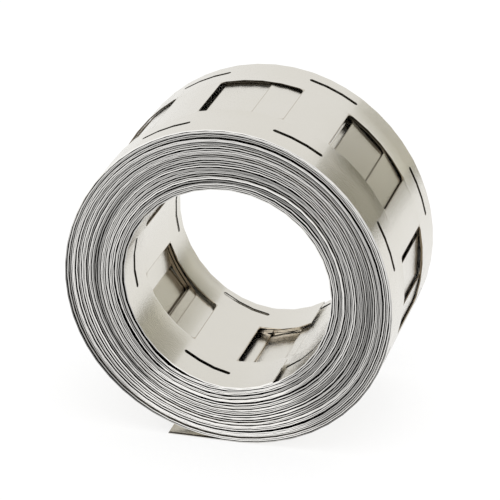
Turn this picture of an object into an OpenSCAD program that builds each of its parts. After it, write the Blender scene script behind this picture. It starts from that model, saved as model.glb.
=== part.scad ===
// Coil of nickel strip: one long strip, punched for two rows of round cells and wound on itself.
// The coil stands on its rim: its axis runs along Y, Z is up, and the origin is on the axis at half width.
// It is built about Z, with the end that faces the viewer upward, and turned onto its rim at the end.
// Angles run round the axis from +X toward +Z, and the strip winds outward as the angle falls.

/* [Strip] */
// Width of the strip, which is the length of the coil along its axis
strip_w = 27; // [24:0.5:40]
// Thickness of the strip
strip_t = 0.15; // [0.1:0.01:0.3]
// Distance along the strip from one cell to the next
cell_pitch = 19.1; // [18.5:0.1:21]

/* [Coil] */
// Diameter of the bore inside the innermost turn
bore_d = 29; // [26:0.5:36]
// Number of turns
turns = 34; // [20:1:45]
// Mean gap between one turn and the next, which are wound loosely
turn_gap = 0.11; // [0.04:0.01:0.16]
// Depth of the gaps between the turns, seen on the ends of the coil
gap_depth = 0.4; // [0.1:0.05:1]
// How far the edges of the turns stand out of line on the ends
edge_wander = 0.1; // [0.02:0.02:0.3]

/* [Windows] */
// Length of a window along the strip
window_l = 11.9; // [9:0.1:12.4]
// Width of a window across the strip
window_w = 12.1; // [8:0.1:14]
// Radius of the corners of a window
window_corner_r = 0.8; // [0.3:0.1:1.5]
// How far the windows of the second turn from outside are set off from those of the first
outer_slip = 4.7; // [4.5:0.1:4.9]
// How far the windows of the second turn from inside are set off from those of the first
inner_slip = 2.7; // [2.5:0.1:2.9]
// How far the punching of the outer turns lies behind the middle of the width
outer_set_back = 0.6; // [0:0.1:1]
// How far the punching of the inner turns lies behind the middle of the width
inner_set_back = 1.2; // [0:0.1:1.5]

/* [Slots] */
// Length of a slot along the strip
slot_l = 7.6; // [4:0.1:9]
// Width of a slot
slot_w = 0.8; // [0.5:0.1:1.2]
// Distance across the strip between the middles of the two rows of slots
slot_row_gap = 20.4; // [17:0.1:21]

/* [Ends] */
// Length of the outer end that lies flat on the floor
tail_l = 8.7; // [6:0.1:12]
// Angle of the cut end of the innermost turn
inner_end_a = 299.5; // [290:0.5:305]
// Angle over which the step behind the inner end fades into the bore
inner_step_a = 60; // [40:5:70]
// Angle of the middle of the first window on the outermost turn, counted from the tail
outer_first_a = 309; // [306:0.1:312]
// Angle of the middle of the window that the inner end is cut through
inner_first_a = 291.2; // [285:0.1:296]

/* [Hidden] */
turn_pitch = strip_t + turn_gap;
bore_r = bore_d / 2;
outer_r = bore_r + turns * turn_pitch - turn_gap;
// Each turn is longer than the one inside it by this much, and its windows slip by as much more
slip_growth = 2 * PI * turn_pitch;
// Most turns that a window can show, and the least opening that is cut
deepest_turn = 6;
least_opening = 0.25;
// Each turn inside an opening shows a ledge this wide, so no two walls are flush
ledge = 0.02;
// A slot shows this many turns, and its ends are rounded by this share of its width
slot_turns = 2;
slot_round = 0.45;
// The tail lies this far above the lowest point of the rim, so that it crosses the rim at an angle
tail_rise = 0.02;
// Step of the sine that puts the edges of the turns out of line, and its start on each end
wander_step = 137;
wander_start = [20, 200];
// Punches reach past the faces that they cut by this much, and start this far behind them
past = 1;
punch_root = 3;
outer_step_a = cell_pitch / outer_r * 180 / PI;
inner_step = cell_pitch / bore_r * 180 / PI;
outer_windows = floor((360 - tail_l / outer_r * 180 / PI) / outer_step_a);
inner_windows = floor(360 / inner_step) + 1;
nickel = [0.80, 0.79, 0.76];
$fn = 96;

// Inner radius of turn i, counted from the bore
function turn_r(i) = bore_r + i * turn_pitch;

// Height of the edge of turn i above the middle of the width, on the front or the back end
function edge_z(i, end) = strip_w / 2 - edge_wander * (1 + sin(i * wander_step + wander_start[end])) / 2;

// Outline of one end from bore to rim: a land for each turn and a gap after each but the last
function end_line(end) = [
    for (i = [0 : turns - 1])
        each [
            [turn_r(i), edge_z(i, end)],
            [turn_r(i) + strip_t, edge_z(i, end)],
            if (i < turns - 1) [turn_r(i) + strip_t, edge_z(i, end) - gap_depth],
            if (i < turns - 1) [turn_r(i + 1), edge_z(i, end) - gap_depth]
        ]
];

// The same points in the opposite order, turned over to the other end
function mirrored(line) = [for (i = [len(line) - 1 : -1 : 0]) [line[i][0], -line[i][1]]];

// Distance along the strip by which the windows of turn k are set off from those of turn 0
function slip(k, first, growth) = k * first + k * (k - 1) / 2 * growth;

// The window of turn k that lies nearest to a place along the strip, given as where that window starts
function nearest(start, place) = start + cell_pitch * round((place - start - window_l / 2) / cell_pitch);

// Stretch of a window of turn 0 that is still open at turn k, where all the windows above it overlap
function opening(k, first, growth) =
    k == 0
    ? [0, window_l]
    : let (
        above = opening(k - 1, first, growth),
        start = nearest(slip(k, first, growth), (above[0] + above[1]) / 2)
    )
    [max(above[0], start), min(above[1], start + window_l)];

// Solid from which the windows are cut: the turned coil with a land for every turn on both ends
module turned_coil() {
    rotate_extrude()
        polygon(concat(end_line(0), mirrored(end_line(1))));
}

// Rectangle with round corners
module rounded_rectangle(length, width, corner_r) {
    square([length - 2 * corner_r, width], center = true);
    square([length, width - 2 * corner_r], center = true);
    for (x = [-1, 1], y = [-1, 1])
        translate([x * (length / 2 - corner_r), y * (width / 2 - corner_r)])
            circle(corner_r);
}

// Stands the shape given as a punch between two radii: its length runs round the coil at angle a
module punch(a, from_r, to_r) {
    rotate([0, 0, a])
        translate([from_r, 0, 0])
            rotate([90, 0, 90])
                linear_extrude(to_r - from_r)
                    children();
}

// A length to the nearest hundredth, so that the corners of a punch meet its sides exactly
function hundredth(length) = round(length * 100) / 100;

// Straight length across an arc
function chord(arc, r) = hundredth(2 * r * sin(arc / r * 90 / PI));

// Punch for the stretch of a window that is open at turn k, in a coil face of radius r
module window_punch(middle_a, stretch, k, r, set_back) {
    length = stretch[1] - stretch[0] - 2 * k * ledge;
    shift = (stretch[0] + stretch[1]) / 2 - window_l / 2;
    corner_r = min(window_corner_r, hundredth(length / 3));
    if (length > least_opening)
        punch(middle_a + shift / r * 180 / PI, r - punch_root - k * ledge, r + punch_root + k * ledge)
            translate([0, -set_back])
                rounded_rectangle(chord(length, r), window_w - 2 * k * ledge, corner_r);
}

// Punches for the pair of slots at one angle
module slot_punches(middle_a, r, set_back) {
    for (row = [-1, 1])
        punch(middle_a, r - punch_root, r + punch_root)
            translate([0, row * slot_row_gap / 2 - set_back])
                rounded_rectangle(chord(slot_l, r), slot_w, hundredth(slot_w * slot_round));
}

// Everything that is punched into the outside, seen turn by turn down to the deepest that shows
module outer_punching() {
    for (k = [0 : deepest_turn - 1])
        difference() {
            for (n = [0 : outer_windows - 1])
                window_punch(
                    outer_first_a + n * outer_step_a,
                    opening(k, outer_slip, slip_growth),
                    k,
                    outer_r,
                    outer_set_back
                );
            cylinder(r = outer_r - (k + 1) * turn_pitch, h = strip_w + 2 * past, center = true);
        }
    difference() {
        for (n = [-1 : outer_windows - 1])
            slot_punches(outer_first_a + (n + 0.5) * outer_step_a, outer_r, outer_set_back);
        cylinder(r = outer_r - slot_turns * turn_pitch, h = strip_w + 2 * past, center = true);
    }
}

// Everything that is punched into the bore, the same way
module inner_punching() {
    for (k = [0 : deepest_turn - 1])
        intersection() {
            union()
                for (n = [0 : inner_windows - 1])
                    window_punch(
                        inner_first_a - n * inner_step,
                        opening(k, -inner_slip, slip_growth),
                        k,
                        bore_r,
                        inner_set_back
                    );
            cylinder(r = bore_r + (k + 1) * turn_pitch, h = strip_w + 2 * past, center = true);
        }
    intersection() {
        union()
            for (n = [0 : inner_windows - 1])
                slot_punches(inner_first_a - (n + 0.5) * inner_step, bore_r, inner_set_back);
        cylinder(r = bore_r + slot_turns * turn_pitch, h = strip_w + 2 * past, center = true);
    }
}

// Step behind the cut inner end: the next turn shows there, and comes back to the bore as a crescent
module inner_step_cut() {
    lean_a = inner_step_a - 90;
    shift = turn_pitch / cos(lean_a);
    intersection() {
        rotate([0, 0, inner_end_a + lean_a])
            translate([shift, 0, 0])
                cylinder(r = bore_r, h = strip_w + 2 * past, center = true);
        rotate([0, 0, inner_end_a])
            translate([0, 0, -strip_w / 2 - past])
                linear_extrude(strip_w + 2 * past)
                    polygon([
                        [0, 0],
                        [outer_r, 0],
                        [outer_r, outer_r],
                        [outer_r * cos(inner_step_a), outer_r * sin(inner_step_a)]
                    ]);
    }
}

// Outer end: it leaves the lowest point of the rim, lies flat, and is cut through a window into two prongs
module tail() {
    prong_w = (strip_w - edge_wander - window_w) / 2;
    for (row = [-1, 1])
        translate([-tail_l, -outer_r + tail_rise, row * (window_w + prong_w) / 2 - prong_w / 2])
            cube([tail_l, strip_t, prong_w]);
}

// The whole coil, turned onto its rim
module nickel_strip_coil() {
    color(nickel)
        rotate([90, 0, 0])
            union() {
                difference() {
                    turned_coil();
                    outer_punching();
                    inner_punching();
                    inner_step_cut();
                }
                tail();
            }
}

nickel_strip_coil();
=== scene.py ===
"""A coil of punched nickel strip, standing on its rim on a white stage.

The strip is one surface: a flat pattern of windows and slots, carried along the path that it is wound
on. Angles run round the coil's axis from +X toward +Z. Along the strip they are counted from the outer
end, which leaves the rim at its lowest point, inward to the inner end.
"""

import math

import bpy
import numpy as np
from mathutils import Matrix, Vector


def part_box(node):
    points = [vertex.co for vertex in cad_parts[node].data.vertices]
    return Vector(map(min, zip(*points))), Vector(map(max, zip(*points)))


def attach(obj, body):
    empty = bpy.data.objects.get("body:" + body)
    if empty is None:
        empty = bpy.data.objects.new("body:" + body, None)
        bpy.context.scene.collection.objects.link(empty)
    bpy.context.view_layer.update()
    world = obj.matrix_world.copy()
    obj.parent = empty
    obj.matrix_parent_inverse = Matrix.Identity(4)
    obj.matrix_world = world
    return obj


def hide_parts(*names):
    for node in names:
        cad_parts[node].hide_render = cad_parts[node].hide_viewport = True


bl_info = {
    "name": "Nickel strip coil",
    "version": (1, 0, 0),
    "blender": (4, 5, 0),
    "location": "View3D > Sidebar > Nickel coil",
    "description": "Winds a coil of punched nickel strip and sets up its white stage",
    "category": "Add Mesh",
}

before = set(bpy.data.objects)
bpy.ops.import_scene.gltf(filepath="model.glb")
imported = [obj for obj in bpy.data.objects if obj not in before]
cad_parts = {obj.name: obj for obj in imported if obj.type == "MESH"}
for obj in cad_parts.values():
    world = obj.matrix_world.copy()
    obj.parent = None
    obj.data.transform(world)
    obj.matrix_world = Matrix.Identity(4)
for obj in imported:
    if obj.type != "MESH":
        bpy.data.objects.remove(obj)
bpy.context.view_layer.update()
CAD_NODE = "nickel_strip_coil"

# A whole turn, the angle of the lowest point of the rim, the direction of the coil's axis, and the
# steps in which one turn of the winding is worked out
TURN = 2 * math.pi
BOTTOM = 1.5 * math.pi
AXIS = np.array([0.0, 1.0, 0.0])
TURN_STEPS = 720

# Lengths and places that differ by less than this count as the same
NEAR = 1e-6

# Radius of the outermost turn and of the bore against the angle: shares of the radius, as the
# cosine and sine of one, two and three times the angle. The rim is a little larger in the mean than
# at its lowest point
RIM_MEAN = 1.004
RIM_SHAPE = ((-0.0056, -0.0032), (-0.0006, -0.0104), (-0.0025, -0.0074))
BORE_SHAPE = ((-0.0086, -0.0038), (0.0004, -0.0115), (-0.0009, 0.0047))

# Noise along the winding: how many waves each length gets, how far they differ from it, and the
# lengths in radians and weights of the noise in the gaps and in the edges
NOISE_WAVES = 4
NOISE_SPREAD = (0.7, 1.4)
GAP_NOISE = ((8.0, 12.0), (0.7, 0.7))
EDGE_NOISE = ((9.0, 30.0), (0.7, 0.9))

# Gaps between turns, as multiples of the mean gap: the narrowest that the noise gives, how much it
# adds to the widest, how sharply and at which level of noise one gives way to the other, the least
# that is left, and the angle over which both ends of the strip keep the mean gap
NARROW_GAP = 0.6
WIDE_GAP = 1.6
GAP_SHARPNESS = 5
GAP_LEVEL = 0.45
LEAST_GAP = 0.15
CALM_ENDS = 1.5

# First guess of the gap at both ends of the strip, in metres, and the rounds that settle it
FIRST_GAP = 5e-5
GAP_ROUNDS = 6

# Gaps that stand open or closed between turns: angle in degrees, number of the turn outside the gap,
# counted from outside, half length in degrees, and what is added to the multiple of the mean gap
OPEN_GAPS = (
    (225, 0, 30, 1.6),
    (70, 0, 60, -0.45),
    (118, 0, 22, -0.5),
    (118, 1, 22, -0.5),
    (8, 0, 20, -0.2),
    (31, 0, 9, 0.5),
    (8, 1, 14, -0.2),
    (345, 1, 12, 0.9),
    (70, 1, 60, -0.4),
    (70, 2, 50, 0.4),
    (222, 8, 34, 2.6),
    (235, 10, 24, 1.0),
    (200, 2, 20, 1.0),
    (50, 30, 28, 2.4),
    (52, 29, 20, 1.6),
    (300, 6, 14, 1.6),
    (302, 8, 14, 1.5),
    (315, 19, 34, 1.6),
    (340, 25, 20, 1.5),
    (228, 23, 22, 1.4),
    (40, 24, 30, 1.4),
    (60, 20, 24, 1.2),
    (95, 19, 22, 1.5),
    (112, 28, 22, 1.5),
    (125, 22, 24, 1.2),
    (150, 12, 20, 1.2),
    (95, 11, 16, 1.4),
    (30, 12, 26, 1.2),
    (15, 7, 16, 1.1),
    (345, 31, 16, 1.3),
    (170, 17, 26, 1.3),
    (260, 15, 22, 1.0),
    (280, 28, 24, 1.2),
    (236, 32, 16, 6.0),
    (263, 32, 10, 1.6),
    (263, 31, 10, 1.0),
    (290, 33, 16, -0.8),
    (290, 32, 16, -0.8),
    (290, 31, 16, -0.8),
    (290, 30, 16, -0.8),
    (203, 31, 20, -0.4),
    (203, 30, 20, -0.4),
    (203, 29, 20, -0.4),
    (203, 28, 20, -0.4),
    (213, 27, 22, 2.2),
    (318, 3, 30, 1.5),
    (322, 11, 34, 1.8),
    (320, 15, 30, 1.5),
    (325, 23, 30, 1.5),
)

# Where windows start on the outermost turns: cell, and degrees wound from the outer end
OUTER_WINDOWS = (
    (1, 22.2), (2, 70.9), (3, 118.0), (4, 165.9), (5, 212.9),
    (10, 441.3), (11, 490.0), (12, 537.2), (18, 816.6), (19, 865.4), (20, 913.6), (25, 1149.6),
    (27, 1245.0), (35, 1628.2), (42, 1968.2),
)

# Angle at which a window starts on the innermost turn, and where windows start on the turns outside
# it: number of the turn, counted from inside, and degrees from that angle
INNER_WINDOW = 192.1
INNER_WINDOWS = (
    (0, 0), (1, -12), (2, -16.5), (3, -16.3), (4, -16), (5, 80.9), (5, 13.2), (6, 37.5),
)

# How far the innermost turn stands back from the front: degrees from its end, and millimetres. The
# end springs away from the next turn over the angle given after it
INNER_SHIFT = ((0, -0.9), (40, -0.3), (90, 0.1), (215, 0.2), (330, 0.05), (420, 0.0))
LIFT_FROM = math.radians(48)

# How far the punching runs off the middle of the strip: degrees from the outer end or from the inner
# end, and millimetres
OUTER_DRIFT = (
    (0, 0.1), (100, 0.2), (118, 0.5), (148, 0.7), (166, 0.5), (195, 0.25), (720, 0.4), (2200, 0.0),
)
INNER_DRIFT = (
    (0, -0.1), (31, 0.85), (58, 1.85), (105, 1.1), (215, 1.1), (360, 1.3), (2900, 1.2), (4300, 0.0),
)

# Angles over which the corners in the tables of shift and drift are rounded off
ROUND_OFF = np.radians(np.linspace(-10, 10, 9))

# How flat the bridges between windows are: turns from the outer end or from the inner end, and a share
OUTER_FLAT = (
    (0.8, 0.0), (1.3, 0.55), (1.42, 0.55), (1.49, 0.15), (1.7, 0.15),
    (2.2, 0.55), (2.42, 0.55), (2.47, 0.15), (2.7, 0.15), (3.2, 0.55), (3.5, 0.55), (6.0, 0.0),
)
INNER_FLAT = ((1.0, 0.0), (1.3, 0.2), (4.3, 0.2), (4.8, 0.8), (6.8, 0.8), (9.0, 0.0))

# Turns from the outer end over which the crown of the rim dies out
CROWN_TURNS = 10

# What fills a patch of the pattern: nothing, metal, or from CUT on the triangle without one corner
PUNCHED, METAL, CUT = 0, 1, 2

# Patches of a cell: those along a window, the first and last across it, and the first across each slot
WINDOW_ROWS = 8
WINDOW_COLUMNS = (7, 11)
SLOT_COLUMNS = (2, 14)

# Share of a slot's width in which its ends are rounded
SLOT_ROUND = 0.3

# Marks of faces that aren't plain rolled metal. The last mark is for the faces between the turns near the
# ends, which are painted near black as the shade in the gaps
EDGE_KINDS = {"punched_edge": 1, "slit_edge": 2, "slot_edge": 3, "grime": 4}

# Faces that meet at more than this angle keep a sharp edge
SHARP_ANGLE = math.radians(50)

# The strip's own coordinates are in centimetres
STRIP_UNIT = 100

# Noise in the nickel, as scale and detail: lines along the strip, which are stretched, grain, clouds,
# and the tone of the long edges from one turn to the next
LINE_STRETCH = (0.35, 60.0, 1.0)
LINE_NOISE = (3.0, 3.0)
GRAIN_NOISE = (60.0, 2.0)
CLOUD_NOISE = (1.3, 3.0)
TONE_NOISE = (0.16, 2.0)
TONE_CONTRAST = 3.0

# Shares of the nickel's colour that its warmer patches keep, and of the long edges' colour that bright
# and dull turns have
WARM_SHARES = (0.93, 0.93, 0.88)
BRIGHT_TURN = 1.65
DULL_TURN = 0.4

# Lip at the ends of a window, painted darker as shade: where it starts and where it is in full, in metres
# from the edge
LIP = (0.00016, 0.00006)

# Where the strip's outer end is painted dark, as shade, and where it is the outermost turn: centimetres
# along it
TAIL_REACH = (0.25, -0.05)
OUTERMOST_REACH = (15.5, 13.5)

# Direction that counts as down, and shares of it: where window edges and long edges get painted light,
# where window edges get painted shade, and where the outermost turn's long edge gets painted shade
DOWN = (-0.05, 0.0, -1.0)
BOTTOM_LIGHT_REACH = (0.75, 0.96)
TOP_SHADE_REACH = (-0.35, -0.85)
LOWER_REACH = (-0.3, 0.3)

# Roughness that each part of the finish adds
ROUGH_LINES = 0.10
ROUGH_CLOUD = 0.08
ROUGH_SLIT = 0.12
ROUGH_CUT = 0.2
ROUGH_BOTTOM_LIGHT = -0.35

# Heights of the lines and the grain, and how strongly and how far they tilt the surface
LINE_HEIGHT = 0.1
GRAIN_HEIGHT = 2.0
BUMP_STRENGTH = 0.12
BUMP_DISTANCE = 0.00005

# Stage: how strongly the sky lights, the side of the floor, how brightly it shows as white and the
# share of that in what is seen, the rest being the shadow
WHITE = (1.0, 1.0, 1.0, 1.0)
SKY_LIGHT = 0.8
FLOOR_SIDE = 6
FLOOR_GLOW = 1.15
FLOOR_SHOWN = 0.65

# Soft lamp: where it stands and what it faces
LAMP_PLACE = (0.1, -0.1, 0.7)
LAMP_TARGET = (0, 0, 0)

# Card behind the coil: its middle, its sides, and the reach from the coil's axis between which its
# colours run. Places of the pale, middle and dark colours in that run
CARD_MIDDLE = (0.13, 0.25, 0.0635)
CARD_SIDES = (0.14, 0.173)
CARD_RUN = (0.105, 0.165)
CARD_PALE, CARD_HALF, CARD_DARK = 0.20, 0.54, 0.75

# Parts of the card by slope, which is height over distance to the right, or by reach: where each part
# starts and where it is in full
CARD_HIGH = (0.8, 1.7)
CARD_LOW = (0.08, -0.08)
CARD_LEVEL = (0.7, 0.2)
CARD_CLOSE = (0.138, 0.122)
CARD_EDGE = (0.147, 0.156)

# How far the colours are drawn in toward the axis on the level part close to it, and on the low part
LEVEL_DRAW = 0.014
LOW_DRAW = 0.008

# Camera: side of the image in pixels, how far the picture is shifted in it, sensor in millimetres and
# the nearest distance that it sees
IMAGE_SIDE = 500
IMAGE_SHIFT = (-3.1, 1.6)
SENSOR = 36
NEAREST = 0.01


def length_property(name, description, default):
    """Property for a length in metres."""
    return bpy.props.FloatProperty(
        name=name, description=description, default=default, unit="LENGTH", subtype="DISTANCE")


def angle_property(name, description, degrees):
    """Property for an angle, given in degrees."""
    return bpy.props.FloatProperty(
        name=name, description=description, default=math.radians(degrees),
        unit="ROTATION", subtype="ANGLE")


def colour_property(name, description, default):
    """Property for a colour."""
    return bpy.props.FloatVectorProperty(
        name=name, description=description, default=default, size=3, min=0, max=1, subtype="COLOR")


class CoilSizes(bpy.types.PropertyGroup):
    """Sizes of the strip and of its winding."""

    strip_width: length_property(
        "Strip width", "Width of the strip, along the coil's axis", 0.027)
    strip_thickness: length_property(
        "Strip thickness", "Thickness of the strip", 0.00015)
    outer_radius: length_property(
        "Outer radius", "Radius of the outermost turn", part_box(CAD_NODE)[1][2])
    bore_radius: length_property(
        "Bore radius", "Radius inside the innermost turn", 0.01455)
    turns: bpy.props.IntProperty(
        name="Turns", description="Whole turns from the outer end to the inner end", default=34)
    cell_pitch: length_property(
        "Cell pitch", "Distance along the strip from one cell to the next", 0.0191)
    window_length: length_property(
        "Window length", "Length of a window along the strip", 0.012)
    window_width: length_property(
        "Window width", "Width of a window across the strip", 0.0121)
    window_corner: length_property(
        "Window corner", "Radius of the corners of a window", 0.0007)
    slot_width: length_property(
        "Slot width", "Width of a slot", 0.0008)
    slot_row_gap: length_property(
        "Slot row gap", "Distance across the strip between the two rows of slots", 0.0204)
    tail_length: length_property(
        "Tail length", "Length of the outer end that lies flat on the floor", 0.0087)
    inner_end_angle: angle_property(
        "Inner end", "Angle of the cut end of the innermost turn", 299.0)
    inner_end_lift: length_property(
        "Inner end lift", "How far the inner end springs away from the next turn", 0.0003)
    inner_end_skew: bpy.props.FloatProperty(
        name="Inner end skew", description="How far the inner end leans off square, as a slope",
        default=0.031)
    burr: length_property(
        "Burr", "How far the edges along the windows are turned outward by the punch", 0.00003)
    burr_reach: length_property(
        "Burr reach", "How far from the windows the strip is turned outward", 0.0004)
    # How far in from the ends the faces between the turns are painted near black, as painted shade in the
    # gaps
    shade_depth: length_property(
        "Shade depth", "How far the grime between the turns reaches in from the ends", 0.0005)
    edge_round: length_property(
        "Edge round", "How far the slit edges bulge in the middle of the thickness", 0.00003)
    edge_wander: length_property(
        "Edge wander", "How far the edges of the turns stand out of line on the ends", 0.00012)
    rim_crown: length_property(
        "Rim crown", "How far the middle of the outermost turn stands out past its edges", 0.00004)
    seed: bpy.props.IntProperty(
        name="Seed", description="Start of the random numbers for the gaps and edges", default=7)


class CoilFinish(bpy.types.PropertyGroup):
    """Colours and finish of the nickel."""

    nickel: colour_property(
        "Nickel", "Colour of the rolled faces", (0.70, 0.675, 0.625))
    slit_edge: colour_property(
        "Slit edge", "Colour of the long edges of the strip", (0.60, 0.59, 0.57))
    # Brown and darker than the nickel: duller cut edges, darkened further as painted shade in the window
    # walls
    punched_edge: colour_property(
        "Punched edge", "Colour of the edges of the windows", (0.28, 0.225, 0.155))
    # Painted light: the edges of the windows at the bottom of the coil take this bright colour
    bottom_lit_edge: colour_property(
        "Bottom lit edge", "Colour of the edges of the windows at the bottom, painted bright as light",
        (0.97, 0.88, 0.76))
    # Painted shade on the outer end, for the coil's dark underside that it mirrors, and on the lips at the
    # ends of the windows
    end_and_lip_shade: colour_property(
        "End and lip shade", "Colour of the outer end, painted dark as shade, and of the windows' lips",
        (0.34, 0.29, 0.21))
    # Near black: painted shade in the slots, between the turns near the ends, and on the window edges at
    # the top of the coil
    slot_edge: colour_property(
        "Slot edge shade", "Colour of the edges of the slots and of the grime between the turns",
        (0.07, 0.06, 0.045))
    roughness: bpy.props.FloatProperty(
        name="Roughness", description="Roughness of the rolled faces", default=0.2, min=0, max=1,
        subtype="FACTOR")


class StageSettings(bpy.types.PropertyGroup):
    """Camera, light, floor and card."""

    azimuth: angle_property(
        "Azimuth", "How far the camera stands to the right of the coil's axis", 15.10)
    elevation: angle_property(
        "Elevation", "How far the camera stands above the coil's axis", 23.48)
    distance: length_property(
        "Distance", "From the camera to the middle of the coil", 0.3986)
    lens: bpy.props.FloatProperty(
        name="Lens", description="Focal length for a 36 mm sensor, in millimetres", default=203.8)
    floor: colour_property(
        "Floor", "Colour of the floor", (0.9, 0.9, 0.9))
    lamp_size: length_property(
        "Lamp size", "Side of the soft lamp", 0.6)
    lamp_power: bpy.props.FloatProperty(
        name="Lamp power", description="Power of the soft lamp, in watts", default=1.2)
    card_pale: colour_property(
        "Card pale", "Colour of the card near the coil's axis", (0.80, 0.78, 0.71))
    card_middle: colour_property(
        "Card middle", "Colour of the card halfway out", (0.78, 0.76, 0.65))
    card_dark: colour_property(
        "Card dark", "Colour of the card far out", (0.10, 0.09, 0.045))


class Shade:
    """A shader value. Python's operators on it add the Math nodes that work the expression out."""

    def __init__(self, tree, socket):
        self.tree = tree
        self.socket = socket

    def _math(self, operation, *values):
        return self.tree.add("ShaderNodeMath", {"operation": operation}, dict(enumerate(values)))["Value"]

    def __add__(self, other):
        return self._math("ADD", self, other)

    def __radd__(self, other):
        return self._math("ADD", other, self)

    def __sub__(self, other):
        return self._math("SUBTRACT", self, other)

    def __rsub__(self, other):
        return self._math("SUBTRACT", other, self)

    def __mul__(self, other):
        return self._math("MULTIPLY", self, other)

    def __rmul__(self, other):
        return self._math("MULTIPLY", other, self)

    def __truediv__(self, other):
        return self._math("DIVIDE", self, other)

    def __rtruediv__(self, other):
        return self._math("DIVIDE", other, self)

    def __abs__(self):
        return self._math("ABSOLUTE", self)


class ShaderTree:
    """Adds nodes to a material or world and returns their outputs by name."""

    def __init__(self, tree):
        self.tree = tree
        tree.nodes.clear()

    def add(self, kind, settings=None, sockets=None):
        """One node of that type: its settings are set first, then its sockets get values or links."""
        node = self.tree.nodes.new(kind)
        for name, value in (settings or {}).items():
            if name == "stops":
                ramp = node.color_ramp
                while len(ramp.elements) < len(value):
                    ramp.elements.new(0.5)
                for element, (place, colour) in zip(ramp.elements, value):
                    element.position = place
                    element.color = colour
            else:
                setattr(node, name, value)
        for name, value in (sockets or {}).items():
            if isinstance(value, Shade):
                self.tree.links.new(value.socket, node.inputs[name])
            else:
                node.inputs[name].default_value = value
        return {socket.name: Shade(self, socket) for socket in node.outputs if socket.enabled}


def new_material(name):
    """A material with no nodes yet, and the tree that adds them."""
    material = bpy.data.materials.new(name)
    material.use_nodes = True
    return material, ShaderTree(material.node_tree)


def opaque(colour, level=1.0):
    """A colour times a level, no brighter than white, with full alpha."""
    return (*(min(1.0, level * c) for c in colour), 1.0)


def blend(tree, share, first, second):
    """Colour that goes from the first to the second as the share goes from 0 to 1."""
    sockets = {"Factor": share, "A": first, "B": second}
    return tree.add("ShaderNodeMix", {"data_type": "RGBA"}, sockets)["Result"]


def between(tree, value, start, full, curve="SMOOTHSTEP"):
    """0 before the start, 1 from where it is in full, and a smooth or straight rise between them."""
    sockets = {"Value": value, "From Min": start, "From Max": full}
    return tree.add("ShaderNodeMapRange", {"interpolation_type": curve}, sockets)["Result"]


def flattened(tree, place):
    """A place with its distance along the coil's axis taken out."""
    sockets = {0: place, 1: (1.0, 0.0, 1.0)}
    return tree.add("ShaderNodeVectorMath", {"operation": "MULTIPLY"}, sockets)["Vector"]


def ripple(angle, shape):
    """Sum of the cosine and sine of one, two and three times the angle, each times its share."""
    return sum(
        c * np.cos((k + 1) * angle) + s * np.sin((k + 1) * angle) for k, (c, s) in enumerate(shape)
    )


def smooth_noise(angle, rng, lengths, weights):
    """Sum of sines along the winding: each has a random length near one of those given, and a
    random start."""
    total = np.zeros_like(angle)
    for length, weight in zip(lengths, weights):
        for _ in range(NOISE_WAVES):
            wave = length * rng.uniform(*NOISE_SPREAD)
            height = weight / math.sqrt(NOISE_WAVES)
            total += height * np.sin(TURN * (angle / wave + rng.uniform()))
    return total


def along_table(angle, table):
    """Smooth curve through a table of degrees and millimetres: lines between its points, then the
    mean over a short stretch, which rounds them off."""
    degrees, millimetres = np.array(table).T
    near = angle + ROUND_OFF[:, None]
    return np.interp(np.degrees(near), degrees, millimetres).mean(0) / 1000


def gap_widths(angle, from_inner, rng):
    """Gap outside each place of the winding, as a multiple of the mean gap.

    It goes from narrow to wide as smooth noise passes a level, and keeps the mean at both ends of the
    strip. Each row of the table of open gaps adds a bell curve of the angle.
    """
    noise = smooth_noise(from_inner, rng, *GAP_NOISE)
    ends = np.exp(-(angle / CALM_ENDS) ** 2) + np.exp(-(from_inner / CALM_ENDS) ** 2)
    gap = NARROW_GAP + WIDE_GAP / (1 + np.exp(GAP_SHARPNESS * (GAP_LEVEL - noise)))
    gap += (1 - gap) * ends
    for degrees, depth, half, wide in OPEN_GAPS:
        middle = (math.radians(degrees) - BOTTOM) % TURN + TURN * depth
        gap += wide * np.exp(-((angle - middle) / math.radians(half)) ** 2)
    return np.maximum(gap, LEAST_GAP)


def wind(sizes):
    """Path of the strip's middle surface: angle from the outer end inward, radius, and shift along
    the axis.

    Counted from the inner end outward, the radius one turn on is the radius here plus the strip's
    thickness and the gap. The gaps along one ray are scaled so that the bore and the rim keep their
    shapes. The inner end lifts off by the square of its free length.
    """
    rng = np.random.default_rng(sizes.seed)
    thickness = sizes.strip_thickness
    step = TURN / TURN_STEPS
    last = round((sizes.turns * TURN + sizes.inner_end_angle - BOTTOM) / step)
    rows = last // TURN_STEPS + 1
    back = np.arange(rows * TURN_STEPS)
    angle = (last - back) * step
    from_inner = back * step

    gap = gap_widths(angle, from_inner, rng).reshape(rows, TURN_STEPS)
    column = np.arange(TURN_STEPS)
    row = np.arange(rows)[:, None]
    end_column = last - (rows - 1) * TURN_STEPS
    outermost = np.where(column <= end_column, rows - 1, rows - 2)
    counted = (row >= 1) & (row <= outermost)
    ray = angle[:TURN_STEPS] + BOTTOM
    rim = sizes.outer_radius * (RIM_MEAN + ripple(ray, RIM_SHAPE)) - thickness / 2
    bore = sizes.bore_radius * (1 + ripple(ray, BORE_SHAPE)) + thickness / 2
    outward = angle.reshape(rows, TURN_STEPS)[outermost, column] / TURN
    inner_gap = outer_gap = FIRST_GAP
    for _ in range(GAP_ROUNDS):
        inside = bore + (thickness + inner_gap) * column / TURN_STEPS
        outside = rim - (thickness + outer_gap) * outward
        room = outside - inside - outermost * thickness
        scaled = gap * room / (gap * counted).sum(0)
        inner_gap = scaled[1, 0]
        outer_gap = scaled[rows - 1, end_column]
    layers = np.concatenate([inside[None], thickness + scaled[1:]])
    radius = np.cumsum(layers, 0).ravel()
    free = np.clip((LIFT_FROM - from_inner) / LIFT_FROM, 0, 1)
    radius -= sizes.inner_end_lift * free ** 2

    shift = sizes.edge_wander * smooth_noise(from_inner, rng, *EDGE_NOISE)
    shift += along_table(from_inner, INNER_SHIFT)
    return angle[last::-1], radius[last::-1], shift[last::-1]


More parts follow.
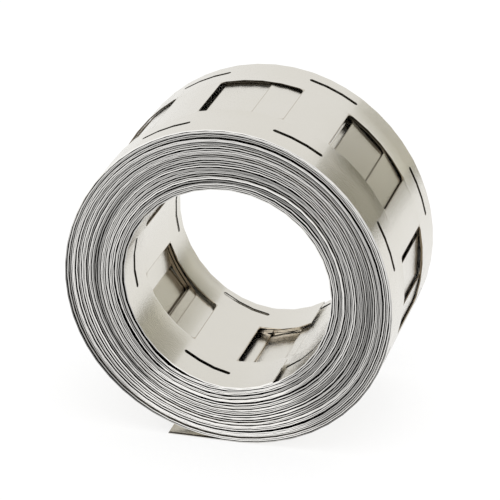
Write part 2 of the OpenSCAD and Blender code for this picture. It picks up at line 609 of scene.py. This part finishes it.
def pattern_place(sizes, angle, radius):
    """Place in the punched pattern, in cells from the tail, at each angle of the winding.

    It is the length along the path over the cell pitch, plus a slow correction that puts the windows
    of the outermost turns, and those of the innermost, at the angles where they show.
    """
    steps = np.diff(angle) * (radius[1:] + radius[:-1]) / 2
    cells = np.concatenate([[0], np.cumsum(steps)]) / sizes.cell_pitch
    outer_cell, outer_angle = np.array(OUTER_WINDOWS).T
    turn, slip = np.array(INNER_WINDOWS)[::-1].T
    end = math.degrees(sizes.inner_end_angle)
    inner_angle = np.degrees(angle[-1]) - (end - INNER_WINDOW) + slip - 360 * turn
    place = np.radians(np.concatenate([outer_angle, inner_angle]))
    natural = np.interp(place, angle, cells)
    start = np.round(natural[-1] + outer_cell[-1] - natural[len(outer_cell) - 1]) - natural[-1]
    wanted = np.concatenate([outer_cell, np.round(natural[len(outer_cell):] + start)])
    return cells + np.interp(angle, place, wanted - natural)


def punched_cell(sizes):
    """Lines along and across one cell of the pattern, and what fills each patch between them.

    A cell starts with its window, and its two slots lie beside the bridge to the next one. Patches
    with one corner cut off round the windows and the ends of the slots.
    """
    pitch = sizes.cell_pitch
    corner = sizes.window_corner
    nip = corner * (1 - math.sqrt(0.5))
    length = sizes.window_length
    along = np.concatenate([
        [0, nip, corner],
        np.linspace(corner, length - corner, 5)[1:-1],
        [length - corner, length - nip, length],
        np.linspace(length, pitch, 4)[1:-1],
    ])
    half = sizes.window_width / 2
    row = sizes.slot_row_gap / 2
    slot = sizes.slot_width / 2
    end = sizes.slot_width * SLOT_ROUND
    side = np.array([
        half - corner, half - nip, half, half + sizes.burr_reach,
        row - slot, row - slot + end, row + slot - end, row + slot,
    ])
    edge = np.array([sizes.strip_width / 2 - sizes.shade_depth, sizes.strip_width / 2])
    across = np.concatenate([-edge[::-1], -side[::-1], side, edge])

    fill = np.full((len(along), len(across) - 1), METAL)
    first, last = WINDOW_COLUMNS
    far = WINDOW_ROWS - 1
    fill[:WINDOW_ROWS, first:last + 1] = PUNCHED
    fill[[0, 0, far, far], [first, last, first, last]] = METAL
    fill[1, first], fill[1, last] = CUT + 2, CUT + 1
    fill[far - 1, first], fill[far - 1, last] = CUT + 3, CUT
    fill[0, first + 1], fill[0, last - 1] = CUT + 2, CUT + 1
    fill[far, first + 1], fill[far, last - 1] = CUT + 3, CUT
    for low in SLOT_COLUMNS:
        fill[far:, low:low + 3] = PUNCHED
        fill[0, low:low + 3] = PUNCHED
        fill[far, low], fill[far, low + 2] = CUT + 2, CUT + 1
        fill[0, low], fill[0, low + 2] = CUT + 3, CUT
    return along / pitch, across, fill


def strip_lines(sizes, cells, along, fill):
    """Lines across the whole strip, in cells, and what fills the patches after each of them.

    The cell is repeated along the strip and cut off at its two ends. The outer end is cut through the
    first window, so the start of that window is left out.
    """
    count = math.ceil(cells[-1]) + 1
    fills = np.tile(fill, (count, 1))
    first, last = WINDOW_COLUMNS
    fills[:2, first:last + 1] = PUNCHED
    tip = cells[0] - sizes.tail_length / sizes.cell_pitch
    lines = (np.arange(count)[:, None] + along).ravel()
    lines = np.clip(np.append(lines, count), tip, cells[-1])
    kept = np.diff(lines) > NEAR
    return np.append(lines[:-1][kept], lines[-1]), fills[kept]


def flat_bridges(sizes, lines, place, r, end):
    """How far each line lies inside the round path, because the bridge between two windows stays flat.

    Between its ends a flat bridge is a chord of the path: the radius is the radius at its ends times
    the cosine of half its angle, over the cosine of the angle from its middle. A share of that is
    taken, from the tables of how flat the turns near the rim and near the bore are.
    """
    window = sizes.window_length / sizes.cell_pitch
    from_middle = np.abs((lines % 1) - (1 + window) / 2)
    half = (1 - window) / 2
    to_angle = sizes.cell_pitch / r
    chord = np.cos(half * to_angle) / np.cos(np.minimum(from_middle, half) * to_angle)
    share = sum(
        np.interp(turned / TURN, *np.array(table).T)
        for turned, table in ((place, OUTER_FLAT), (end - place, INNER_FLAT))
    )
    return np.where(from_middle < half + NEAR, share * r * (1 - chord), 0)


def strip_points(sizes, lines, across, place, path, start):
    """Points of the strip's middle surface, and the direction outward at each line.

    A point goes to the path's radius and angle, and along the axis by its distance across the strip.
    The punching drifts off the middle, and the inner end leans. The crown, a parabola across the strip
    that dies out round the coil and inward, the flat bridges, whose rails stay round, and the burr
    beside the windows move points outward or inward. Before the start the strip runs on flat.
    """
    angle, radius, shift = path
    r = np.interp(place, angle, radius)
    y = np.interp(place, angle, shift)
    theta = place + BOTTOM
    zero = np.zeros_like(theta)
    normal = np.stack([np.cos(theta), zero, np.sin(theta)], -1)
    tangent = np.stack([-np.sin(theta), zero, np.cos(theta)], -1)
    flat = np.minimum(lines - start, 0) * sizes.cell_pitch
    middle = normal * r[:, None] + np.stack([flat, y, zero], -1)

    from_inner = angle[-1] - place
    drift = along_table(place, OUTER_DRIFT) + along_table(from_inner, INNER_DRIFT)
    inside = np.abs(across) < sizes.strip_width / 2 - sizes.shade_depth - NEAR
    reach = across + drift[:, None] * inside
    skew = sizes.inner_end_skew * np.clip(1 - from_inner, 0, 1)
    lean = AXIS + skew[:, None, None] * tangent[:, None, :]

    crown = sizes.rim_crown * np.clip(1 - place / (CROWN_TURNS * TURN), 0, 1) * (1 + np.sin(theta)) / 2
    rise = crown[:, None] * (1 - (2 * reach / sizes.strip_width) ** 2)
    half = sizes.window_width / 2
    rail = (sizes.slot_row_gap - sizes.slot_width) / 2
    sag = flat_bridges(sizes, lines, place, r, angle[-1])
    rise -= sag[:, None] * np.clip((rail - np.abs(across)) / (rail - half), 0, 1)
    beside = lines % 1 < sizes.window_length / sizes.cell_pitch + NEAR
    rise += sizes.burr * (beside[:, None] & (np.abs(np.abs(across) - half) < NEAR))
    points = middle[:, None, :] + reach[..., None] * lean + rise[..., None] * normal[:, None, :]
    return points, normal


def patch_faces(fills):
    """Quads of the whole patches and triangles of those with one corner cut off, as point numbers."""
    rows, columns = fills.shape
    start = (np.arange(rows)[:, None] * (columns + 1) + np.arange(columns)).ravel()
    corners = np.stack([start, start + columns + 1, start + columns + 2, start + 1], -1)
    kind = fills.ravel()
    cut = kind >= CUT
    ring = (kind[cut] - CUT)[:, None] + np.array([1, 2, 3])
    return corners[kind == METAL], np.take_along_axis(corners[cut], ring % 4, 1)


def open_edges(*groups):
    """Edges that belong to one face only: those whose opposite isn't there."""
    edges = np.concatenate([
        np.stack([faces[:, i], faces[:, (i + 1) % faces.shape[1]]], -1)
        for faces in groups for i in range(faces.shape[1])
    ])
    size = edges.max() + 1
    return edges[~np.isin(edges @ (size, 1), edges @ (1, size))]


def strip_surface(sizes):
    """Vertices, quads, triangles, marks of the faces and strip coordinates of the whole wound strip.

    The flat pattern of one cell is repeated along the strip and carried along the winding, half a
    thickness out and half a thickness in. Every open edge of the outer face is joined to the inner one
    by a wall, and the walls of the two long edges bulge in the middle.
    """
    path = wind(sizes)
    cells = pattern_place(sizes, *path[:2])
    along, across, fill = punched_cell(sizes)
    lines, fills = strip_lines(sizes, cells, along, fill)
    place = np.interp(lines, cells, path[0])
    points, normal = strip_points(sizes, lines, across, place, path, cells[0])
    out = normal[:, None, :] * (sizes.strip_thickness / 2)
    bulge = sizes.edge_round * AXIS
    vertices = np.concatenate([
        (points + out).reshape(-1, 3), (points - out).reshape(-1, 3),
        points[:, 0] - bulge, points[:, -1] + bulge,
    ])

    rows, columns = fills.shape
    side = (rows + 1) * (columns + 1)
    quads, triangles = patch_faces(fills)
    rim = open_edges(quads, triangles)
    rim_row, rim_column = np.divmod(rim, columns + 1)
    slit = (rim_column == 0).all(1) | (rim_column == columns).all(1)
    bulged = 2 * side + rim_row[slit] + (rows + 1) * (rim_column[slit] > 0)
    walls, upper, lower = [
        np.concatenate([top[:, ::-1], bottom], 1)
        for top, bottom in (
            (rim[~slit], rim[~slit] + side), (rim[slit], bulged), (bulged, rim[slit] + side))
    ]
    four = np.concatenate([quads, quads[:, ::-1] + side, walls, upper, lower])
    three = np.concatenate([triangles, triangles[:, ::-1] + side])

    quad_row, quad_column = np.divmod(quads[:, 0], columns + 1)
    by_edge = (quad_column == 0) | (quad_column == columns - 1)
    covered = np.stack([place, path[0][-1] - place])[:, quad_row] > TURN
    # The faces between the turns near the ends are marked to be painted near black, as the shade in the
    # gaps
    flat_kind = np.where(by_edge & covered, EDGE_KINDS["grime"], 0).ravel()
    in_window = (np.abs(across[rim_column[~slit]]) < sizes.window_width / 2 + NEAR).all(1)
    at_end = (rim_row[~slit] == 0).all(1) | (rim_row[~slit] == rows).all(1)
    wall_kind = np.select(
        [at_end, in_window], [EDGE_KINDS["slit_edge"], EDGE_KINDS["punched_edge"]], EDGE_KINDS["slot_edge"]
    )
    slit_kind = np.full(len(upper) + len(lower), EDGE_KINDS["slit_edge"])
    face_kind = np.concatenate([flat_kind, wall_kind, slit_kind, np.zeros(len(three))])
    grid = np.stack(np.broadcast_arrays((lines * sizes.cell_pitch)[:, None], across), -1)
    strip = np.concatenate([np.tile(grid.reshape(-1, 2), (2, 1)), grid[:, 0], grid[:, -1]])
    return vertices, four, three, face_kind, strip


def strip_mesh(name, vertices, four, three, face_kind, strip):
    """Mesh from arrays of quads and triangles, with its unused vertices left out."""
    corners = np.concatenate([four.ravel(), three.ravel()])
    used = np.zeros(len(vertices), bool)
    used[corners] = True
    number = np.cumsum(used) - 1
    sides = np.concatenate([np.full(len(four), 4), np.full(len(three), 3)])
    mesh = bpy.data.meshes.new(name)
    mesh.vertices.add(int(used.sum()))
    mesh.vertices.foreach_set("co", vertices[used].astype(np.float32).ravel())
    mesh.loops.add(len(corners))
    mesh.loops.foreach_set("vertex_index", number[corners].astype(np.int32))
    mesh.polygons.add(len(sides))
    mesh.polygons.foreach_set("loop_start", (np.cumsum(sides) - sides).astype(np.int32))
    mesh.update(calc_edges=True)
    layer = mesh.uv_layers.new(name="strip")
    layer.data.foreach_set("uv", (strip[corners] * STRIP_UNIT).astype(np.float32).ravel())
    for label, kind in EDGE_KINDS.items():
        mark = mesh.attributes.new(label, "FLOAT", "FACE")
        mark.data.foreach_set("value", (face_kind == kind).astype(np.float32))
    if mesh.validate():
        raise RuntimeError("the strip's mesh had faults")
    mesh.shade_smooth()
    mesh.set_sharp_from_angle(angle=SHARP_ANGLE)
    return mesh


def window_lip(tree, sizes, place):
    """1 on the narrow lip at both ends of a window, where painted shade darkens the colour, and 0
    elsewhere:
    near the ends of the bridge between two windows, and no wider than they are."""
    pitch = sizes.cell_pitch
    window = sizes.window_length / pitch
    apart = tree.add("ShaderNodeSeparateXYZ", None, {"Vector": place})
    cells = apart["X"] * (1 / (STRIP_UNIT * pitch))
    cell = tree.add("ShaderNodeMath", {"operation": "FRACT"}, {0: cells})["Value"]
    start, full = ((1 - window) / 2 - length / pitch for length in LIP)
    at_end = between(tree, abs(cell - (1 + window) / 2), start, full, "LINEAR")
    half = STRIP_UNIT * sizes.window_width / 2
    in_row = tree.add("ShaderNodeMath", {"operation": "LESS_THAN"}, {0: abs(apart["Y"]), 1: half})["Value"]
    return at_end * in_row


def nickel_material(finish, sizes):
    """Rolled nickel: satin, with fine lines along the strip, faint clouding and duller cut edges.

    The outer end and the lips of the windows are painted darker as shade, and painted shade lies between
    the turns. The window edges go from painted shade at the top of the coil to painted light at the bottom.
    """
    material, tree = new_material("rolled_nickel")
    place = tree.add("ShaderNodeUVMap", {"uv_map": "strip"})["UV"]
    stretched = tree.add("ShaderNodeMapping", None, {"Vector": place, "Scale": LINE_STRETCH})["Vector"]
    lines, grain, cloud, tone = [
        tree.add("ShaderNodeTexNoise", None, {"Vector": where, "Scale": scale, "Detail": detail})["Fac"]
        for where, (scale, detail) in (
            (stretched, LINE_NOISE), (place, GRAIN_NOISE), (place, CLOUD_NOISE), (place, TONE_NOISE))
    ]
    punched, slit, slot, grime = [
        tree.add("ShaderNodeAttribute", {"attribute_name": label})["Fac"] for label in EDGE_KINDS
    ]
    from_tip = tree.add("ShaderNodeSeparateXYZ", None, {"Vector": place})["X"]
    tail = between(tree, from_tip, *TAIL_REACH)
    outermost = between(tree, from_tip, *OUTERMOST_REACH, "LINEAR")
    lip = window_lip(tree, sizes, place)
    ray = flattened(tree, tree.add("ShaderNodeTexCoord")["Object"])
    side = tree.add("ShaderNodeVectorMath", {"operation": "NORMALIZE"}, {0: ray})["Vector"]
    down = tree.add("ShaderNodeVectorMath", {"operation": "DOT_PRODUCT"}, {0: side, 1: DOWN})["Value"]
    # Painted light at the bottom of the coil: window edges and long edges are painted brighter there, and
    # window edges less rough
    painted_bottom_light = between(tree, down, *BOTTOM_LIGHT_REACH)
    # Painted shade at the top of the coil, where the window edges are painted near black
    painted_top_shade = between(tree, down, *TOP_SHADE_REACH)
    lower = between(tree, down, *LOWER_REACH, "LINEAR")

    warm = [share * c for share, c in zip(WARM_SHARES, finish.nickel)]
    rolled = blend(tree, 0.5 * cloud + 0.2 * lines, opaque(finish.nickel), opaque(warm))
    # The outer end and the window lips are painted darker, as shade
    face = blend(tree, tail + 0.5 * lip, rolled, opaque(finish.end_and_lip_shade))
    bright_turn = tree.add(
        "ShaderNodeMath", {"operation": "ADD", "use_clamp": True}, {0: TONE_CONTRAST * (tone - 0.5), 1: 0.5}
    )["Value"]
    # Long edges: random bright and dull turns, painted light at the bottom, and painted shade on the
    # outermost turn toward the bottom
    long_edge = blend(
        tree, bright_turn + 0.8 * painted_bottom_light - outermost * lower,
        opaque(finish.slit_edge, DULL_TURN), opaque(finish.slit_edge, BRIGHT_TURN),
    )
    # Window edges: a brown darkened as painted shade, painted light toward the bottom, and painted
    # near-black shade toward the top
    cut_edge = blend(tree, painted_bottom_light, opaque(finish.punched_edge), opaque(finish.bottom_lit_edge))
    window_edge = blend(tree, painted_top_shade, cut_edge, opaque(finish.slot_edge))
    with_long_edge = blend(tree, slit, face, long_edge)
    with_window_edge = blend(tree, punched, with_long_edge, window_edge)
    # Slot edges and the faces between the turns near the ends are painted near black, as shade
    colour = blend(tree, slot + grime, with_window_edge, opaque(finish.slot_edge))

    rough = finish.roughness + ROUGH_LINES * (lines - 0.5) + ROUGH_CLOUD * (cloud - 0.5)
    cut_rough = ROUGH_SLIT * slit + ROUGH_CUT * (punched + slot) + ROUGH_BOTTOM_LIGHT * (punched * painted_bottom_light)
    height = LINE_HEIGHT * lines + GRAIN_HEIGHT * grain
    bump = tree.add(
        "ShaderNodeBump", None, {"Strength": BUMP_STRENGTH, "Distance": BUMP_DISTANCE, "Height": height}
    )["Normal"]
    shader = tree.add(
        "ShaderNodeBsdfPrincipled", None,
        {"Base Color": colour, "Metallic": 1.0, "Roughness": rough + cut_rough, "Normal": bump},
    )["BSDF"]
    tree.add("ShaderNodeOutputMaterial", None, {"Surface": shader})
    return material


class NICKEL_OT_coil(bpy.types.Operator):
    """Winds the punched strip into the coil"""

    bl_idname = "nickel.coil"
    bl_label = "Coil of nickel strip"

    def execute(self, context):
        scene = context.scene
        mesh = strip_mesh("nickel_strip", *strip_surface(scene.nickel_sizes))
        mesh.materials.append(nickel_material(scene.nickel_finish, scene.nickel_sizes))
        coil = bpy.data.objects.new("nickel_strip", mesh)
        scene.collection.objects.link(coil)
        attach(coil, "root")
        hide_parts(CAD_NODE)
        return {"FINISHED"}


def background_share(tree):
    """1 for what the camera sees directly, in a mirror or through glass, and 0 for light that falls."""
    path = tree.add("ShaderNodeLightPath")
    share = path["Is Camera Ray"]
    for ray in ("Is Glossy Ray", "Is Transmission Ray"):
        share = tree.add("ShaderNodeMath", {"operation": "MAXIMUM"}, {0: share, 1: path[ray]})["Value"]
    return share


def stage_plane(name, centre, toward, width, height, material):
    """Flat rectangle: two directions across the one that it faces, each times half its side."""
    normal = (Vector(toward) - Vector(centre)).normalized()
    level = Vector((0, 0, 1)) if abs(normal.z) < 0.9 else Vector((0, 1, 0))
    right = level.cross(normal).normalized()
    up = normal.cross(right)
    grid = np.array([(-1, -1), (1, -1), (1, 1), (-1, 1)]) * 0.5 * np.array([width, height])
    points = np.array(centre) + grid[:, :1] * np.array(right) + grid[:, 1:] * np.array(up)
    mesh = bpy.data.meshes.new(name)
    mesh.from_pydata(points.tolist(), [], [(0, 1, 2, 3)])
    mesh.materials.append(material)
    plane = bpy.data.objects.new(name, mesh)
    bpy.context.scene.collection.objects.link(plane)
    return plane


def floor_material(colour):
    """Matt floor that lights as its own colour and shows as white, with the coil's shadow on it."""
    material, tree = new_material("stage_floor")
    shown = FLOOR_SHOWN * background_share(tree)
    matt = tree.add("ShaderNodeBsdfDiffuse", None, {"Color": opaque(colour)})["BSDF"]
    glow = tree.add("ShaderNodeEmission", None, {"Color": WHITE, "Strength": FLOOR_GLOW})["Emission"]
    shader = tree.add("ShaderNodeMixShader", None, {0: shown, 1: matt, 2: glow})["Shader"]
    tree.add("ShaderNodeOutputMaterial", None, {"Surface": shader})
    return material


def card_material(stage):
    """Card that gives off its own light: from white through pale and middle to dark with the reach
    from the coil's axis, and white again where it is high, or low and far out."""
    material, tree = new_material("olive_card")
    place = tree.add("ShaderNodeTexCoord")["Object"]
    apart = tree.add("ShaderNodeSeparateXYZ", None, {"Vector": place})
    reach = tree.add(
        "ShaderNodeVectorMath", {"operation": "LENGTH"}, {0: flattened(tree, place)})["Value"]
    slope = apart["Z"] / apart["X"]
    high, low, level = [between(tree, slope, *part) for part in (CARD_HIGH, CARD_LOW, CARD_LEVEL)]
    close, edge = [between(tree, reach, *part) for part in (CARD_CLOSE, CARD_EDGE)]
    drawn = reach + LEVEL_DRAW * level * close + LOW_DRAW * low
    dark = opaque(stage.card_dark)
    stops = (
        (0.0, WHITE), (CARD_PALE, opaque(stage.card_pale)), (CARD_HALF, opaque(stage.card_middle)),
        (CARD_DARK, dark), (1.0, dark),
    )
    outward = between(tree, drawn, *CARD_RUN, "LINEAR")
    colour = tree.add("ShaderNodeValToRGB", {"stops": stops}, {"Fac": outward})["Color"]
    faded = blend(tree, high + edge * low, colour, WHITE)
    shader = tree.add("ShaderNodeEmission", None, {"Color": faded, "Strength": 1.0})["Emission"]
    tree.add("ShaderNodeOutputMaterial", None, {"Surface": shader})
    return material


def add_sky(scene):
    """White world: it lights at a plain level, and what is seen of it is white."""
    scene.world = bpy.data.worlds.new("studio")
    scene.world.use_nodes = True
    tree = ShaderTree(scene.world.node_tree)
    strength = SKY_LIGHT + (1 - SKY_LIGHT) * background_share(tree)
    sky = tree.add("ShaderNodeBackground", None, {"Color": WHITE, "Strength": strength})
    tree.add("ShaderNodeOutputWorld", None, {"Surface": sky["Background"]})


def add_lamp(scene, stage):
    """Square soft lamp that faces the coil."""
    light = bpy.data.lights.new("soft_box", "AREA")
    light.shape = "SQUARE"
    light.size = stage.lamp_size
    light.energy = stage.lamp_power
    lamp = bpy.data.objects.new("soft_box", light)
    lamp.location = LAMP_PLACE
    facing = Vector(LAMP_TARGET) - Vector(LAMP_PLACE)
    lamp.rotation_euler = facing.to_track_quat("-Z", "Y").to_euler()
    scene.collection.objects.link(lamp)


def add_camera(scene, stage):
    """Camera on a sphere round the middle of the coil, at its azimuth and elevation, facing it."""
    a, e = stage.azimuth, stage.elevation
    back = Vector((math.sin(a) * math.cos(e), -math.cos(a) * math.cos(e), math.sin(e)))
    right = Vector((math.cos(a), math.sin(a), 0))
    up = back.cross(right)
    camera_data = bpy.data.cameras.new("camera")
    camera_data.sensor_width = SENSOR
    camera_data.lens = stage.lens
    camera_data.shift_x, camera_data.shift_y = (pixels / IMAGE_SIDE for pixels in IMAGE_SHIFT)
    camera_data.clip_start = NEAREST
    camera = bpy.data.objects.new("camera", camera_data)
    turn = Matrix((right, up, back)).transposed().to_4x4()
    camera.matrix_world = Matrix.Translation(back * stage.distance) @ turn
    scene.collection.objects.link(camera)
    scene.camera = camera


class NICKEL_OT_stage(bpy.types.Operator):
    """Sets up the white stage, the light and the camera"""

    bl_idname = "nickel.stage"
    bl_label = "White stage"

    def execute(self, context):
        scene = context.scene
        stage = scene.nickel_stage
        scene.view_settings.view_transform = "Standard"
        add_sky(scene)
        floor_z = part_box(CAD_NODE)[0][2]
        stage_plane(
            "stage_floor", (0, 0, floor_z), (0, 0, 1), FLOOR_SIDE, FLOOR_SIDE, floor_material(stage.floor))
        x, _, z = CARD_MIDDLE
        card = stage_plane("stage_card", CARD_MIDDLE, (x, 0, z), *CARD_SIDES, card_material(stage))
        card.visible_camera = False
        card.visible_diffuse = False
        card.visible_shadow = False
        add_lamp(scene, stage)
        add_camera(scene, stage)
        return {"FINISHED"}


class NICKEL_PT_panel(bpy.types.Panel):
    """Sizes, finish and stage of the coil"""

    bl_idname = "NICKEL_PT_panel"
    bl_label = "Nickel coil"
    bl_space_type = "VIEW_3D"
    bl_region_type = "UI"
    bl_category = "Nickel coil"

    def draw(self, context):
        layout = self.layout
        scene = context.scene
        for group in (scene.nickel_sizes, scene.nickel_finish, scene.nickel_stage):
            box = layout.box()
            for name in group.__annotations__:
                box.prop(group, name)
        layout.operator(NICKEL_OT_coil.bl_idname)
        layout.operator(NICKEL_OT_stage.bl_idname)


CLASSES = (CoilSizes, CoilFinish, StageSettings, NICKEL_OT_coil, NICKEL_OT_stage, NICKEL_PT_panel)


def register():
    for one in CLASSES:
        bpy.utils.register_class(one)
    bpy.types.Scene.nickel_sizes = bpy.props.PointerProperty(type=CoilSizes)
    bpy.types.Scene.nickel_finish = bpy.props.PointerProperty(type=CoilFinish)
    bpy.types.Scene.nickel_stage = bpy.props.PointerProperty(type=StageSettings)


def unregister():
    del bpy.types.Scene.nickel_stage
    del bpy.types.Scene.nickel_finish
    del bpy.types.Scene.nickel_sizes
    for one in reversed(CLASSES):
        bpy.utils.unregister_class(one)


def main():
    register()
    bpy.ops.nickel.coil()
    bpy.ops.nickel.stage()


if __name__ == "__main__":
    main()
